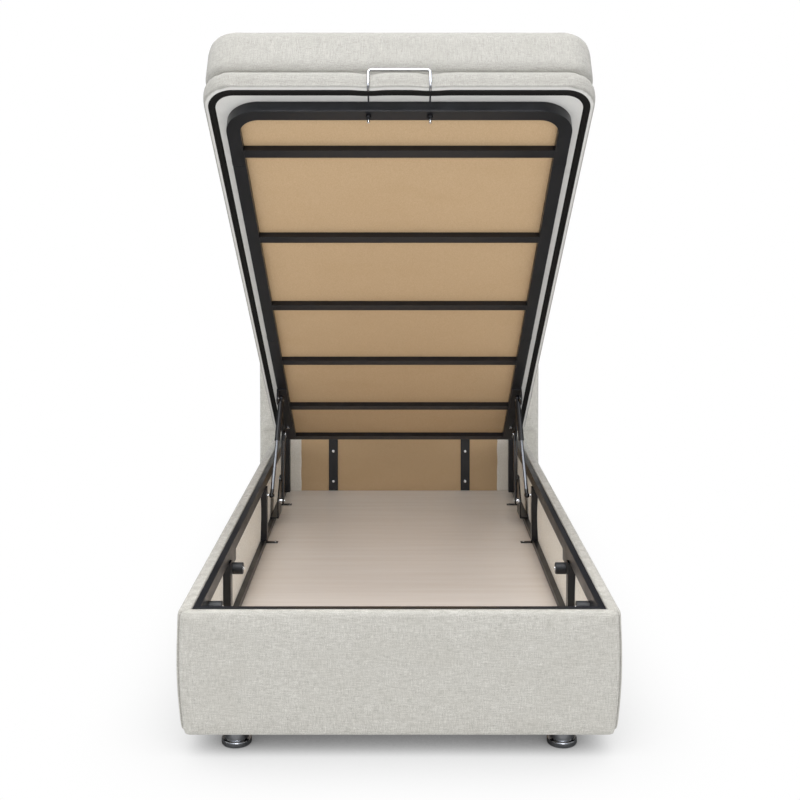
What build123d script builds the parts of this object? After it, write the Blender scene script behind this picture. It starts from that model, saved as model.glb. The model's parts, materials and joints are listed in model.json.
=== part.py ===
from build123d import *
import os
from math import atan2, cos, degrees, hypot, pi, radians, sin, sqrt

# Ottoman storage bed with its lid raised.
# X runs to the right as seen from the foot end, Y from the foot to the head, Z up, in millimetres.
# The origin is on the floor, under the middle of the bed.

os.makedirs("parts", exist_ok=True)

# Overall sizes
bed_length = 2044.0
base_width = 950.0
base_height = 310.0
boards_above_floor = 45.0
headboard_width = 1071.0
headboard_top = 1100.0
headboard_thick = 60.0

# Clearances
fit_gap = 0.3
running_gap = 0.05
cut_overrun = 1.0

# Boards of the base
side_board_thick = 36.5
side_board_top_radius = 13.0
side_board_bottom_radius = 12.0
side_board_front_radius = 9.0
board_draw_top = 9.0
board_draw_bottom = 15.0
footboard_inset = 9.5
footboard_thick = 20.0
footboard_corner_radius = 12.0
footboard_edge_radius = 8.0
lining_thick = 1.0
end_board_thick = 18.0
wrap_thick = 1.0

# Steel frame in the base
rail_wide = 15.0
rail_tall = 32.0
rail_wall = 1.5
floor_top = 95.0
floor_thick = 5.0
lower_rail_above_floor_top = 17.0
post_deep = 30.0
post_wide = 20.0
hinge_post_wide = 33.5

# Lid platform, in the lid's own frame: a runs from the head towards the foot, p is square to it
lid_angle = 34.6
lid_from_head = 272.4
lid_above_rail = 46.2
platform_side_gap = 22.5
platform_end_gaps = 114.0
platform_head_overhang = 36.0
tube_wide = 32.0
tube_tall = 28.0
tube_wall = 1.5
platform_corner_radius = 80.0
cross_bar_wide = 28.0
cross_bar_tall = 15.0

# Mattress
mattress_thick = 194.0
mattress_over_sides = 50.0
mattress_over_foot = 48.0
mattress_over_head = 21.0
mattress_corner_radius = 75.0
mattress_edge_radius = 30.0
lower_layer_thick = 57.0

# Lift linkage
front_pivot_from_head = 393.3
front_pivot_above_rail = 117.2
rear_pivot_from_head = 450.4
rear_pivot_above_rail = 54.6
front_arm_lid_a = 110.0
front_arm_lid_drop = 16.0
rear_arm_lid_a = 126.0
rear_arm_lid_drop = 50.0
arm_thick = 5.0
arm_wide = 22.0
pivot_pin_radius = 4.0

# Gas struts
strut_lower_from_post_front = 11.3
strut_lower_below_top = 56.9
strut_upper_a = 357.0
strut_upper_drop = 25.0
strut_radius = 9.0
strut_rod_radius = 5.5
strut_ball_radius = 8.5
strut_cylinder_length = 128.0

# Places worked out from the sizes
y_foot = -bed_length / 2
y_head = bed_length / 2
y_headboard = y_head - headboard_thick
y_end_board = y_headboard - end_board_thick
y_inside_head = y_end_board - wrap_thick
y_inside_foot = y_foot + footboard_thick
x_outside = base_width / 2
x_side_board = x_outside - side_board_thick
x_rail_outer = x_side_board - lining_thick
x_rail_inner = x_rail_outer - rail_wide
z_rail_bottom = base_height - rail_tall
z_lower_rail_top = floor_top + lower_rail_above_floor_top
z_lower_rail_bottom = z_lower_rail_top - rail_tall
z_floor_bottom = floor_top - floor_thick
z_board_crest = boards_above_floor + (base_height - boards_above_floor) * (
    sqrt(board_draw_bottom) / (sqrt(board_draw_bottom) + sqrt(board_draw_top))
)
x_tube_outer = x_rail_inner - platform_side_gap
x_tube_inner = x_tube_outer - tube_wide
platform_length = y_inside_head - y_inside_foot - platform_end_gaps
a_head = -platform_head_overhang
a_foot = platform_length - platform_head_overhang
lid_y = y_inside_head - lid_from_head
lid_z = base_height + lid_above_rail
lid_cos = cos(radians(lid_angle))
lid_sin = sin(radians(lid_angle))

lid_plane = Plane(origin=(0, lid_y, lid_z), x_dir=(1, 0, 0), z_dir=(0, lid_sin, lid_cos))
sides = (("left", -1), ("right", 1))


def finish(piece, name):
    """Label one finished piece and write its STEP file."""
    piece.part.label = name
    export_step(piece.part, f"parts/{name}.step")


def side_plane(x):
    """A plane square to X: its own x is Y and its own y is Z."""
    return Plane(origin=(x, 0, 0), x_dir=(0, 1, 0), z_dir=(1, 0, 0))


def lid_side_plane(x):
    """A plane square to X that tilts with the lid: its own x is minus a and its own y is p."""
    return Plane(origin=(x, lid_y, lid_z), x_dir=(0, lid_cos, -lid_sin), z_dir=(1, 0, 0))


def lid_point(x, a, p):
    """The world point at x, a and p of the lid's frame."""
    return Vector(x, lid_y - a * lid_cos + p * lid_sin, lid_z + a * lid_sin + p * lid_cos)


def middle(span):
    """The middle of a span and its length."""
    return (span[0] + span[1]) / 2, span[1] - span[0]


def block(x, y, z):
    """A plain block over three spans."""
    x_mid, x_size = middle(x)
    y_mid, y_size = middle(y)
    with BuildPart() as piece:
        with BuildSketch(Plane.XY.offset(z[0])):
            with Locations((x_mid, y_mid)):
                Rectangle(x_size, y_size)
        extrude(amount=z[1] - z[0])
    return piece


def tube_along_y(x, y, z, wall):
    """A rectangular steel tube that runs along Y, open at its ends."""
    x_mid, x_size = middle(x)
    z_mid, z_size = middle(z)
    with BuildPart() as piece:
        with BuildSketch(Plane(origin=(x_mid, y[0], z_mid), x_dir=(0, 0, 1), z_dir=(0, 1, 0))):
            Rectangle(z_size, x_size)
            Rectangle(z_size - 2 * wall, x_size - 2 * wall, mode=Mode.SUBTRACT)
        extrude(amount=y[1] - y[0])
    return piece


def tube_along_x(x, y, z, wall):
    """A rectangular steel tube that runs along X, open at its ends."""
    y_mid, y_size = middle(y)
    z_mid, z_size = middle(z)
    with BuildPart() as piece:
        with BuildSketch(Plane(origin=(x[0], y_mid, z_mid), x_dir=(0, 1, 0), z_dir=(1, 0, 0))):
            Rectangle(y_size, z_size)
            Rectangle(y_size - 2 * wall, z_size - 2 * wall, mode=Mode.SUBTRACT)
        extrude(amount=x[1] - x[0])
    return piece


def signed_span(sign, near, far):
    """The X span between two distances from the middle, on the left or the right side."""
    return tuple(sorted((sign * near, sign * far)))


# Both kinds of upholstered board bow outwards: furthest out at their crest, drawn in at bottom and top
def bowed_face(sign, reach):
    """Three points up a board's outer face, for an arc."""
    return (
        (sign * (reach - board_draw_bottom), boards_above_floor),
        (sign * reach, z_board_crest),
        (sign * (reach - board_draw_top), base_height),
    )


# Footboard: an upholstered board across the fronts of the side boards
footboard_half = x_outside - footboard_inset
with BuildPart() as footboard:
    with BuildSketch(Plane(origin=(0, y_foot, 0), x_dir=(1, 0, 0), z_dir=(0, -1, 0))) as foot_outline:
        with BuildLine():
            left_face = ThreePointArc(*bowed_face(-1, footboard_half))
            right_face = ThreePointArc(*bowed_face(1, footboard_half))
            Line(left_face @ 0, right_face @ 0)
            Line(left_face @ 1, right_face @ 1)
        make_face()
        fillet(foot_outline.vertices(), footboard_corner_radius)
    extrude(amount=-footboard_thick)
    fillet(footboard.faces().sort_by(Axis.Y)[0].edges(), footboard_edge_radius)
finish(footboard, "footboard")


# Side boards: padded, with rounded outer edges and a rounded front corner
def side_board(sign):
    """One side board, on the left or the right."""
    inner = sign * x_side_board
    with BuildPart() as piece:
        with BuildSketch(Plane(origin=(0, y_inside_foot, 0), x_dir=(1, 0, 0), z_dir=(0, -1, 0))) as outline:
            with BuildLine():
                face = ThreePointArc(*bowed_face(sign, x_outside))
                Polyline(face @ 1, (inner, base_height), (inner, boards_above_floor), face @ 0)
            make_face()
            corners = [point for point in outline.vertices() if abs(point.X) > x_side_board + fit_gap]
            low_corner, high_corner = sorted(corners, key=lambda point: point.Y)
            fillet(low_corner, side_board_bottom_radius)
            fillet(high_corner, side_board_top_radius)
        extrude(amount=y_inside_foot - y_headboard)
        front = piece.faces().sort_by(Axis.Y)[0]
        outer_edge = front.edges().sort_by(Axis.X)[-1 if sign > 0 else 0]
        fillet(outer_edge, side_board_front_radius)
    return piece


for side_name, side in sides:
    finish(side_board(side), f"side_board_{side_name}")

# Lining cloth on the inner faces of the side boards
lining_top_margin = 6.0
with BuildPart() as side_linings:
    with BuildSketch(Plane.XY.offset(z_floor_bottom)):
        with Locations(
            (x_rail_outer + lining_thick / 2, (y_inside_foot + y_inside_head) / 2),
            (-x_rail_outer - lining_thick / 2, (y_inside_foot + y_inside_head) / 2),
        ):
            Rectangle(lining_thick, y_inside_head - y_inside_foot)
    extrude(amount=base_height - lining_top_margin - z_floor_bottom)
finish(side_linings, "side_linings")

# Board across the head end, bare in its middle, with the cover turned over it at each side
wrap_wide = 67.5
wrap_inner_edge = x_rail_outer - wrap_wide
head_end_board = block(
    (-x_side_board, x_side_board), (y_end_board, y_headboard), (boards_above_floor, base_height)
)
finish(head_end_board, "head_end_board")

with BuildPart() as head_wrap_strips:
    with BuildSketch(Plane.XY.offset(boards_above_floor)):
        with Locations(
            ((wrap_inner_edge + x_rail_outer) / 2, y_inside_head + wrap_thick / 2),
            (-(wrap_inner_edge + x_rail_outer) / 2, y_inside_head + wrap_thick / 2),
        ):
            Rectangle(x_rail_outer - wrap_inner_edge, wrap_thick)
    extrude(amount=base_height - boards_above_floor)
finish(head_wrap_strips, "head_wrap_strips")

# Headboard: an upholstered panel with rounded corners and soft edges
headboard_corner_radius = 45.0
headboard_edge_radius = 18.0
with BuildPart() as headboard:
    with BuildSketch(Plane(origin=(0, y_headboard, 0), x_dir=(1, 0, 0), z_dir=(0, -1, 0))):
        with Locations((0, (boards_above_floor + headboard_top) / 2)):
            Rectangle(headboard_width, headboard_top - boards_above_floor)
    extrude(amount=-headboard_thick)
    fillet(headboard.edges().filter_by(Axis.Y).group_by(Axis.Z)[-1], headboard_corner_radius)
    fillet(headboard.faces().sort_by(Axis.Y)[-1].edges(), headboard_edge_radius)
finish(headboard, "headboard")

# Steel straps that hold the headboard to the end board, and their screws
strap_wide = 34.0
strap_thick = 3.0
strap_spacing = 498.0
strap_screw_top_drop = 66.0
strap_screw_bottom_rise = 35.0
screw_head_radius = 5.0
screw_head_tall = 2.0
y_strap = y_inside_head + wrap_thick - strap_thick
strap_screw_heights = (base_height - strap_screw_top_drop, floor_top + strap_screw_bottom_rise)

with BuildPart() as headboard_straps:
    with BuildSketch(Plane.XY.offset(floor_top)):
        with Locations(
            (strap_spacing / 2, y_strap + strap_thick / 2), (-strap_spacing / 2, y_strap + strap_thick / 2)
        ):
            Rectangle(strap_wide, strap_thick)
    extrude(amount=base_height - floor_top)
finish(headboard_straps, "headboard_straps")

with BuildPart() as strap_screws:
    with BuildSketch(Plane(origin=(0, y_strap, 0), x_dir=(1, 0, 0), z_dir=(0, -1, 0))):
        with Locations(*[(x * strap_spacing / 2, z) for x in (-1, 1) for z in strap_screw_heights]):
            Circle(screw_head_radius)
    extrude(amount=screw_head_tall)
    fillet(strap_screws.faces().group_by(Axis.Y)[0].edges(), screw_head_tall / 2)
finish(strap_screws, "strap_screws")

# Rails of the base frame
rail_y = (y_inside_foot, y_inside_head)
for side_name, side in sides:
    rail_x = signed_span(side, x_rail_inner, x_rail_outer)
    finish(tube_along_y(rail_x, rail_y, (z_rail_bottom, base_height), rail_wall), f"top_rail_{side_name}")
    lower_z = (z_lower_rail_bottom, z_lower_rail_top)
    finish(tube_along_y(rail_x, rail_y, lower_z, rail_wall), f"lower_rail_{side_name}")

foot_rail = tube_along_x(
    (-x_rail_inner, x_rail_inner),
    (y_inside_foot, y_inside_foot + rail_wide),
    (z_rail_bottom, base_height),
    rail_wall,
)
finish(foot_rail, "foot_rail")

# Posts between the rails, two on each side, and the wide hinge posts near the head
front_post_from_foot = 422.0
middle_post_from_head = 736.0
hinge_post_from_head = 102.0
y_front_post = y_inside_foot + front_post_from_foot
y_middle_post = y_inside_head - middle_post_from_head
y_hinge_post = y_inside_head - hinge_post_from_head


def upright_posts(x_far, wide, fronts, z):
    """Hollow posts over a height on both sides, at each front face, ending at a distance from the middle."""
    x = x_far - wide / 2
    with BuildPart() as piece:
        with BuildSketch(Plane.XY.offset(z[0])):
            with Locations(*[(sign * x, y + post_deep / 2) for _, sign in sides for y in fronts]):
                Rectangle(wide, post_deep)
                Rectangle(wide - 2 * rail_wall, post_deep - 2 * rail_wall, mode=Mode.SUBTRACT)
        extrude(amount=z[1] - z[0])
    return piece


between_rails = (z_lower_rail_top, z_rail_bottom)
beside_top_rail = (z_rail_bottom, base_height)
finish(upright_posts(x_rail_outer, post_wide, (y_front_post, y_middle_post), between_rails), "frame_posts")
with BuildPart() as hinge_posts:
    add(upright_posts(x_rail_outer, hinge_post_wide, (y_hinge_post,), between_rails).part)
    add(upright_posts(x_rail_inner, hinge_post_wide - rail_wide, (y_hinge_post,), beside_top_rail).part)
finish(hinge_posts, "hinge_posts")

# Cross members that carry the feet, under the lower rails
foot_from_front = 53.0
foot_from_head = 54.0
foot_spacing = 704.0
cross_member_wide = 40.0
foot_rows = (y_inside_foot + foot_from_front, y_inside_head - foot_from_head)
with BuildPart() as cross_members:
    with BuildSketch(side_plane(-x_rail_outer)):
        with Locations(*[(y, (boards_above_floor + z_lower_rail_bottom) / 2) for y in foot_rows]):
            Rectangle(cross_member_wide, z_lower_rail_bottom - boards_above_floor)
            Rectangle(
                cross_member_wide - 2 * rail_wall,
                z_lower_rail_bottom - boards_above_floor - 2 * rail_wall,
                mode=Mode.SUBTRACT,
            )
    extrude(amount=2 * x_rail_outer)
finish(cross_members, "cross_members")

# Chrome feet with a wide rounded base
foot_radius = 27.0
foot_base_radius = 32.5
foot_base_tall = 14.0
foot_edge_radius = 4.0
with BuildPart() as bed_feet:
    foot_places = [(sign * foot_spacing / 2, y) for _, sign in sides for y in foot_rows]
    with BuildSketch():
        with Locations(*foot_places):
            Circle(foot_base_radius)
    extrude(amount=foot_base_tall)
    fillet(bed_feet.faces().group_by(Axis.Z)[-1].edges(), foot_edge_radius)
    fillet(bed_feet.faces().group_by(Axis.Z)[0].edges(), foot_edge_radius)
    with BuildSketch(Plane.XY.offset(foot_base_tall)):
        with Locations(*foot_places):
            Circle(foot_radius)
    extrude(amount=boards_above_floor - foot_base_tall)
finish(bed_feet, "bed_feet")

# Floor of the storage space and the bearers under it
bearer_wide = 44.0
bearer_tall = 20.0
bearer_count = 5
floor_half = x_rail_inner - fit_gap
floor_y = (y_inside_foot + fit_gap, y_strap - fit_gap)
finish(block((-floor_half, floor_half), floor_y, (z_floor_bottom, floor_top)), "floor_board")

bearer_pitch = (y_inside_head - y_inside_foot) / (bearer_count + 1)
with BuildPart() as floor_bearers:
    with BuildSketch(Plane.XY.offset(z_floor_bottom - bearer_tall)):
        with Locations(*[(0, y_inside_foot + bearer_pitch * (k + 1)) for k in range(bearer_count)]):
            Rectangle(2 * floor_half, bearer_wide)
    extrude(amount=bearer_tall)
finish(floor_bearers, "floor_bearers")

# Angle tabs that tie the floor to the lower rails, with one screw each
tab_long = 36.0
tab_wide = 15.0
tab_thick = 3.0
tab_screw_from_end = 9.0
tab_beyond_post = 38.5
tab_before_hinge_post = 117.0
tab_rows = (
    y_front_post + tab_beyond_post,
    y_middle_post + tab_beyond_post,
    y_hinge_post - tab_before_hinge_post,
)
tab_places = [(sign, y) for _, sign in sides for y in tab_rows]
tab_half = tab_long / 2
with BuildPart() as floor_tabs:
    with BuildSketch(Plane.XY.offset(floor_top)):
        with Locations(*[(sign * (x_rail_inner - tab_half), y) for sign, y in tab_places]):
            Rectangle(tab_long, tab_wide)
    extrude(amount=tab_thick)
    with BuildSketch(Plane.XY.offset(floor_top)):
        with Locations(*[(sign * (x_rail_inner - tab_thick / 2), y) for sign, y in tab_places]):
            Rectangle(tab_thick, tab_wide)
    extrude(amount=z_lower_rail_top - floor_top)
finish(floor_tabs, "floor_tabs")

with BuildPart() as tab_screws:
    x_screw = x_rail_inner - tab_long + tab_screw_from_end
    with BuildSketch(Plane.XY.offset(floor_top + tab_thick)):
        with Locations(*[(sign * x_screw, y) for sign, y in tab_places]):
            Circle(screw_head_radius)
    extrude(amount=screw_head_tall)
    fillet(tab_screws.faces().group_by(Axis.Z)[-1].edges(), screw_head_tall / 2)
finish(tab_screws, "tab_screws")

# Rubber bumpers that the closed lid comes down on, each bolted to a plate under the top rail
bumper_radius = 14.5
bumper_long = 29.7
bumper_plate_thick = 4.0
bumper_edge_radius = 2.0
bumper_bolt_radius = 5.0
bumper_bolt_tall = 2.5
bolt_edge_radius = 1.2
front_bumper_from_foot = 126.0
rear_bumper_behind_post = 20.0
rear_bumper_below_rail = 27.0
bumper_plate_edge = 8.0
rear_plate_long = 93.0
closed_lid_clearance = 26.0
y_front_bumper = y_inside_foot + front_bumper_from_foot
z_front_bumper = base_height - closed_lid_clearance - fit_gap - bumper_radius
y_rear_bumper = y_front_post + post_deep + rear_bumper_behind_post
z_rear_bumper = z_rail_bottom - rear_bumper_below_rail
bumpers = ((y_front_bumper, z_front_bumper), (y_rear_bumper, z_rear_bumper))
x_bumper_end = x_rail_inner - bumper_long


def along_x_group(radius, x_near, x_far, ease):
    """The same round piece at each bumper, between two distances from the middle, eased at its inner end."""
    with BuildPart() as piece:
        for _, sign in sides:
            with BuildSketch(side_plane(sign * x_near)):
                with Locations(*bumpers):
                    Circle(radius)
            extrude(amount=sign * (x_far - x_near))
        inner = [edge for edge in piece.edges() if abs(abs(edge.center().X) - x_near) < fit_gap]
        fillet(inner, ease)
    return piece


finish(along_x_group(bumper_radius, x_bumper_end, x_rail_inner, bumper_edge_radius), "lid_bumpers")
bolt_end = x_bumper_end - bumper_bolt_tall
finish(along_x_group(bumper_bolt_radius, bolt_end, x_bumper_end, bolt_edge_radius), "bumper_bolts")

plate_bottom = z_rear_bumper - bumper_radius
front_plate_bottom = z_front_bumper - bumper_radius
with BuildPart() as bumper_plates:
    for _, side in sides:
        with BuildSketch(side_plane(side * x_rail_inner)):
            with BuildLine():
                Polyline(
                    (y_front_bumper - bumper_radius, z_rail_bottom),
                    (y_front_bumper - bumper_radius, front_plate_bottom),
                    (y_front_bumper + bumper_radius, front_plate_bottom),
                    (y_front_bumper + bumper_radius + bumper_plate_edge, z_rail_bottom),
                    close=True,
                )
            make_face()
            with BuildLine():
                Polyline(
                    (y_rear_bumper - bumper_radius, z_rail_bottom),
                    (y_rear_bumper - bumper_radius, plate_bottom),
                    (y_rear_bumper + bumper_radius, plate_bottom),
                    (y_rear_bumper + bumper_radius + bumper_plate_edge, z_rear_bumper),
                    (y_rear_bumper - bumper_radius + rear_plate_long, z_rear_bumper),
                    (y_rear_bumper - bumper_radius + rear_plate_long, z_rail_bottom),
                    close=True,
                )
            make_face()
        extrude(amount=side * bumper_plate_thick)
finish(bumper_plates, "bumper_plates")

# Pivots of the linkage, in world places and in the lid's frame
plate_gap = 0.5
hanger_thick = 4.0
hanger_proud = 1.0
x_hanger_inner = x_tube_outer - hanger_thick + hanger_proud
x_hanger_outer = x_hanger_inner + hanger_thick
x_front_arm = x_hanger_outer + plate_gap
x_rear_arm = x_hanger_inner - plate_gap - arm_thick
bracket_gap = 1.5
bracket_thick = 4.0
x_bracket = x_front_arm + arm_thick + bracket_gap
pin_head_tall = 2.5
pin_head_radius = 7.0
front_base_pivot = (y_inside_head - front_pivot_from_head, z_lower_rail_top + front_pivot_above_rail)
rear_base_pivot = (y_inside_head - rear_pivot_from_head, z_lower_rail_top + rear_pivot_above_rail)
front_lid_point = lid_point(0, front_arm_lid_a, -front_arm_lid_drop)
rear_lid_point = lid_point(0, rear_arm_lid_a, -rear_arm_lid_drop)
front_lid_pivot = (front_lid_point.Y, front_lid_point.Z)
rear_lid_pivot = (rear_lid_point.Y, rear_lid_point.Z)
rear_lid_slack = 0.9

# Arm brackets: an upright plate with a foot flange on the lower rail
bracket_margin = 20.0
bracket_top_margin = 12.0
bracket_foot_thick = 4.0


def arm_bracket(sign):
    """The bracket that carries the lower pivots of both arms on one side."""
    low = z_lower_rail_top
    y_near = rear_base_pivot[0] - bracket_margin
    y_far = front_base_pivot[0] + bracket_margin
    with BuildPart() as piece:
        with BuildSketch(side_plane(sign * x_bracket)):
            with BuildLine():
                Polyline(
                    (y_near, low),
                    (y_near, rear_base_pivot[1] + bracket_top_margin),
                    (front_base_pivot[0] - bracket_top_margin, front_base_pivot[1] + bracket_top_margin),
                    (front_base_pivot[0] + bracket_top_margin, front_base_pivot[1] + bracket_top_margin),
                    (y_far, front_base_pivot[1] - bracket_top_margin),
                    (y_far, low),
                    close=True,
                )
            make_face()
            with Locations(front_base_pivot, rear_base_pivot):
                Circle(pivot_pin_radius, mode=Mode.SUBTRACT)
        extrude(amount=sign * bracket_thick)
        with BuildSketch(side_plane(sign * x_bracket)):
            with Locations(((y_near + y_far) / 2, low + bracket_foot_thick / 2)):
                Rectangle(y_far - y_near, bracket_foot_thick)
        extrude(amount=sign * (x_rail_outer - x_bracket))
    return piece


for side_name, side in sides:
    finish(arm_bracket(side), f"arm_bracket_{side_name}")


# Lift arms: flat links between two pivots
def arm(sign, x_near, start, end, end_gap):
    """One flat arm from its base pivot to its lid pivot, with a running hole at each end."""
    run = hypot(end[0] - start[0], end[1] - start[1])
    turn = degrees(atan2(end[1] - start[1], end[0] - start[0]))
    with BuildPart() as piece:
        with BuildSketch(side_plane(sign * x_near)):
            with Locations(((start[0] + end[0]) / 2, (start[1] + end[1]) / 2)):
                SlotCenterToCenter(run, arm_wide, rotation=turn)
            with Locations(start):
                Circle(pivot_pin_radius + running_gap, mode=Mode.SUBTRACT)
            with Locations(end):
                Circle(pivot_pin_radius + end_gap, mode=Mode.SUBTRACT)
        extrude(amount=sign * arm_thick)
    return piece


for side_name, side in sides:
    front_arm = arm(side, x_front_arm, front_base_pivot, front_lid_pivot, running_gap)
    finish(front_arm, f"front_arm_{side_name}")
    rear_arm = arm(side, x_rear_arm, rear_base_pivot, rear_lid_pivot, rear_lid_slack)
    finish(rear_arm, f"rear_arm_{side_name}")

# Pins fixed in the base brackets: one through each arm, with a spacer behind the rear arm
x_bracket_outer = x_bracket + bracket_thick
spacer_radius = 9.0


def disc(plane_at, centre, x_near, x_far, radius):
    """One round of a pin between two distances from the middle, added on both sides."""
    for _, sign in sides:
        with BuildSketch(plane_at(sign * x_near)) as profile:
            with Locations(centre):
                Circle(radius)
        extrude(profile.sketch, amount=sign * (x_far - x_near))


x_front_arm_outer = x_front_arm + arm_thick + fit_gap
x_rear_arm_outer = x_rear_arm + arm_thick + fit_gap
x_rear_arm_head = x_rear_arm - fit_gap
with BuildPart() as base_pivot_pins:
    disc(side_plane, front_base_pivot, x_front_arm, x_bracket_outer, pivot_pin_radius)
    disc(side_plane, front_base_pivot, x_bracket_outer, x_bracket_outer + pin_head_tall, pin_head_radius)
    disc(side_plane, front_base_pivot, x_front_arm_outer, x_bracket, pin_head_radius)
    disc(side_plane, rear_base_pivot, x_rear_arm_head, x_bracket_outer, pivot_pin_radius)
    disc(side_plane, rear_base_pivot, x_bracket_outer, x_bracket_outer + pin_head_tall, pin_head_radius)
    disc(side_plane, rear_base_pivot, x_rear_arm_outer, x_bracket, spacer_radius)
    disc(side_plane, rear_base_pivot, x_rear_arm_head - pin_head_tall, x_rear_arm_head, pin_head_radius)
finish(base_pivot_pins, "base_pivot_pins")

# Hangers under the side tubes of the lid: a flange on the tube and a plate hanging from its outer edge
hanger_head_a = 60.0
hanger_foot_a = 375.0
hanger_shallow = 34.0
hanger_strut_drop = 42.0
hanger_end_drop = 30.0
hanger_pivot_margin = 13.0
hanger_flange_wide = 26.0
hanger_deep = rear_arm_lid_drop + hanger_pivot_margin
hanger_slope = hanger_deep - hanger_shallow
strut_tab = 14.0


def lid_hanger(sign):
    """The hanger that carries the upper pivots on one side."""
    with BuildPart() as piece:
        with BuildSketch(lid_side_plane(sign * x_hanger_inner)):
            with BuildLine():
                Polyline(
                    (-hanger_head_a, 0),
                    (-hanger_head_a, -hanger_end_drop),
                    (-front_arm_lid_a + hanger_pivot_margin, -hanger_deep),
                    (-rear_arm_lid_a - hanger_pivot_margin, -hanger_deep),
                    (-rear_arm_lid_a - hanger_pivot_margin - hanger_slope, -hanger_shallow),
                    (-strut_upper_a + 2 * strut_tab, -hanger_shallow),
                    (-strut_upper_a + strut_tab, -hanger_strut_drop),
                    (-hanger_foot_a + strut_tab / 2, -hanger_strut_drop),
                    (-hanger_foot_a, -hanger_end_drop),
                    (-hanger_foot_a, 0),
                    close=True,
                )
            make_face()
            with Locations(
                (-front_arm_lid_a, -front_arm_lid_drop),
                (-rear_arm_lid_a, -rear_arm_lid_drop),
                (-strut_upper_a, -strut_upper_drop),
            ):
                Circle(pivot_pin_radius, mode=Mode.SUBTRACT)
        extrude(amount=sign * hanger_thick)
        with BuildSketch(lid_plane.offset(-hanger_thick)):
            with Locations(
                (sign * (x_hanger_inner - hanger_flange_wide / 2), -(hanger_head_a + hanger_foot_a) / 2)
            ):
                Rectangle(hanger_flange_wide, hanger_foot_a - hanger_head_a)
        extrude(amount=hanger_thick)
    return piece


for side_name, side in sides:
    finish(lid_hanger(side), f"lid_hanger_{side_name}")

# Bolts that hold the hangers to the side tubes
hanger_bolt_margin = 18.0
hanger_bolt_inset = 9.0
hanger_bolt_radius = 5.5
hanger_bolt_tall = 4.0
hanger_bolt_span = hanger_foot_a - hanger_head_a - 2 * hanger_bolt_margin
hanger_bolt_shares = (0.0, 0.8)
first_hanger_bolt = hanger_head_a + hanger_bolt_margin
hanger_bolt_rows = [first_hanger_bolt + share * hanger_bolt_span for share in hanger_bolt_shares]
x_hanger_bolt = x_hanger_inner - hanger_bolt_inset
with BuildPart() as hanger_bolts:
    with BuildSketch(lid_plane.offset(-hanger_thick - hanger_bolt_tall)):
        with Locations(*[(sign * x_hanger_bolt, -a) for _, sign in sides for a in hanger_bolt_rows]):
            RegularPolygon(hanger_bolt_radius, 6)
    extrude(amount=hanger_bolt_tall)
finish(hanger_bolts, "hanger_bolts")

# Gas strut ends: the lower ball is on the middle post, the upper one on the hanger
strut_ball_gap = 2.5
x_strut_upper = x_hanger_inner - strut_ball_gap - strut_ball_radius
strut_post_gap = 6.0
x_post_inner = x_rail_outer - post_wide
x_strut_lower = x_post_inner - strut_post_gap - strut_ball_radius
y_strut_lower = y_middle_post + strut_lower_from_post_front
z_strut_lower = base_height - strut_lower_below_top
stud_radius = 4.0

# Pins and studs fixed in the hangers
front_lid_place = (-front_arm_lid_a, -front_arm_lid_drop)
rear_lid_place = (-rear_arm_lid_a, -rear_arm_lid_drop)
strut_lid_place = (-strut_upper_a, -strut_upper_drop)
x_front_pin_end = x_front_arm_outer + pin_head_tall
with BuildPart() as lid_pivot_pins:
    disc(lid_side_plane, front_lid_place, x_hanger_inner, x_front_arm_outer, pivot_pin_radius)
    disc(lid_side_plane, front_lid_place, x_front_arm_outer, x_front_pin_end, pin_head_radius)
    disc(lid_side_plane, rear_lid_place, x_rear_arm_head, x_hanger_outer, pivot_pin_radius)
    disc(lid_side_plane, rear_lid_place, x_rear_arm_head - pin_head_tall, x_rear_arm_head, pin_head_radius)
    strut_ball_side = x_strut_upper + strut_ball_radius + fit_gap
    disc(lid_side_plane, strut_lid_place, strut_ball_side, x_hanger_outer, stud_radius)
finish(lid_pivot_pins, "lid_pivot_pins")

with BuildPart() as strut_post_studs:
    strut_post_side = x_strut_lower + strut_ball_radius + fit_gap
    disc(side_plane, (y_strut_lower, z_strut_lower), strut_post_side, x_post_inner, stud_radius)
finish(strut_post_studs, "strut_post_studs")

# Gas struts: a rod with the lower ball socket and a cylinder with the upper one
strut_collar_radius = 6.0
strut_collar_long = 20.0
strut_neck_radius = 5.0
strut_neck_long = 14.0
strut_wall = 1.5
strut_cap_long = 5.0
rod_in_cylinder = 26.0
piston_long = 10.0


def strut_frame(sign):
    """The plane at the lower ball whose own z runs up the strut, and the distance between the balls."""
    low = Vector(sign * x_strut_lower, y_strut_lower, z_strut_lower)
    high = lid_point(sign * x_strut_upper, strut_upper_a, -strut_upper_drop)
    line = high - low
    return Plane(origin=low, z_dir=line.normalized()), line.length


def strut_rod(sign):
    """The chrome rod, its piston and the ball socket at its lower end."""
    base, reach = strut_frame(sign)
    cylinder_start = reach - strut_neck_long - strut_cylinder_length
    with BuildPart() as piece:
        with Locations(base.location):
            Sphere(strut_ball_radius)
        with BuildSketch(base):
            Circle(strut_collar_radius)
        extrude(amount=strut_collar_long)
        with BuildSketch(base.offset(strut_collar_long)):
            Circle(strut_rod_radius)
        extrude(amount=cylinder_start + rod_in_cylinder - strut_collar_long)
        with BuildSketch(base.offset(cylinder_start + rod_in_cylinder)):
            Circle(strut_radius - strut_wall - fit_gap)
        extrude(amount=piston_long)
    return piece


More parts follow.
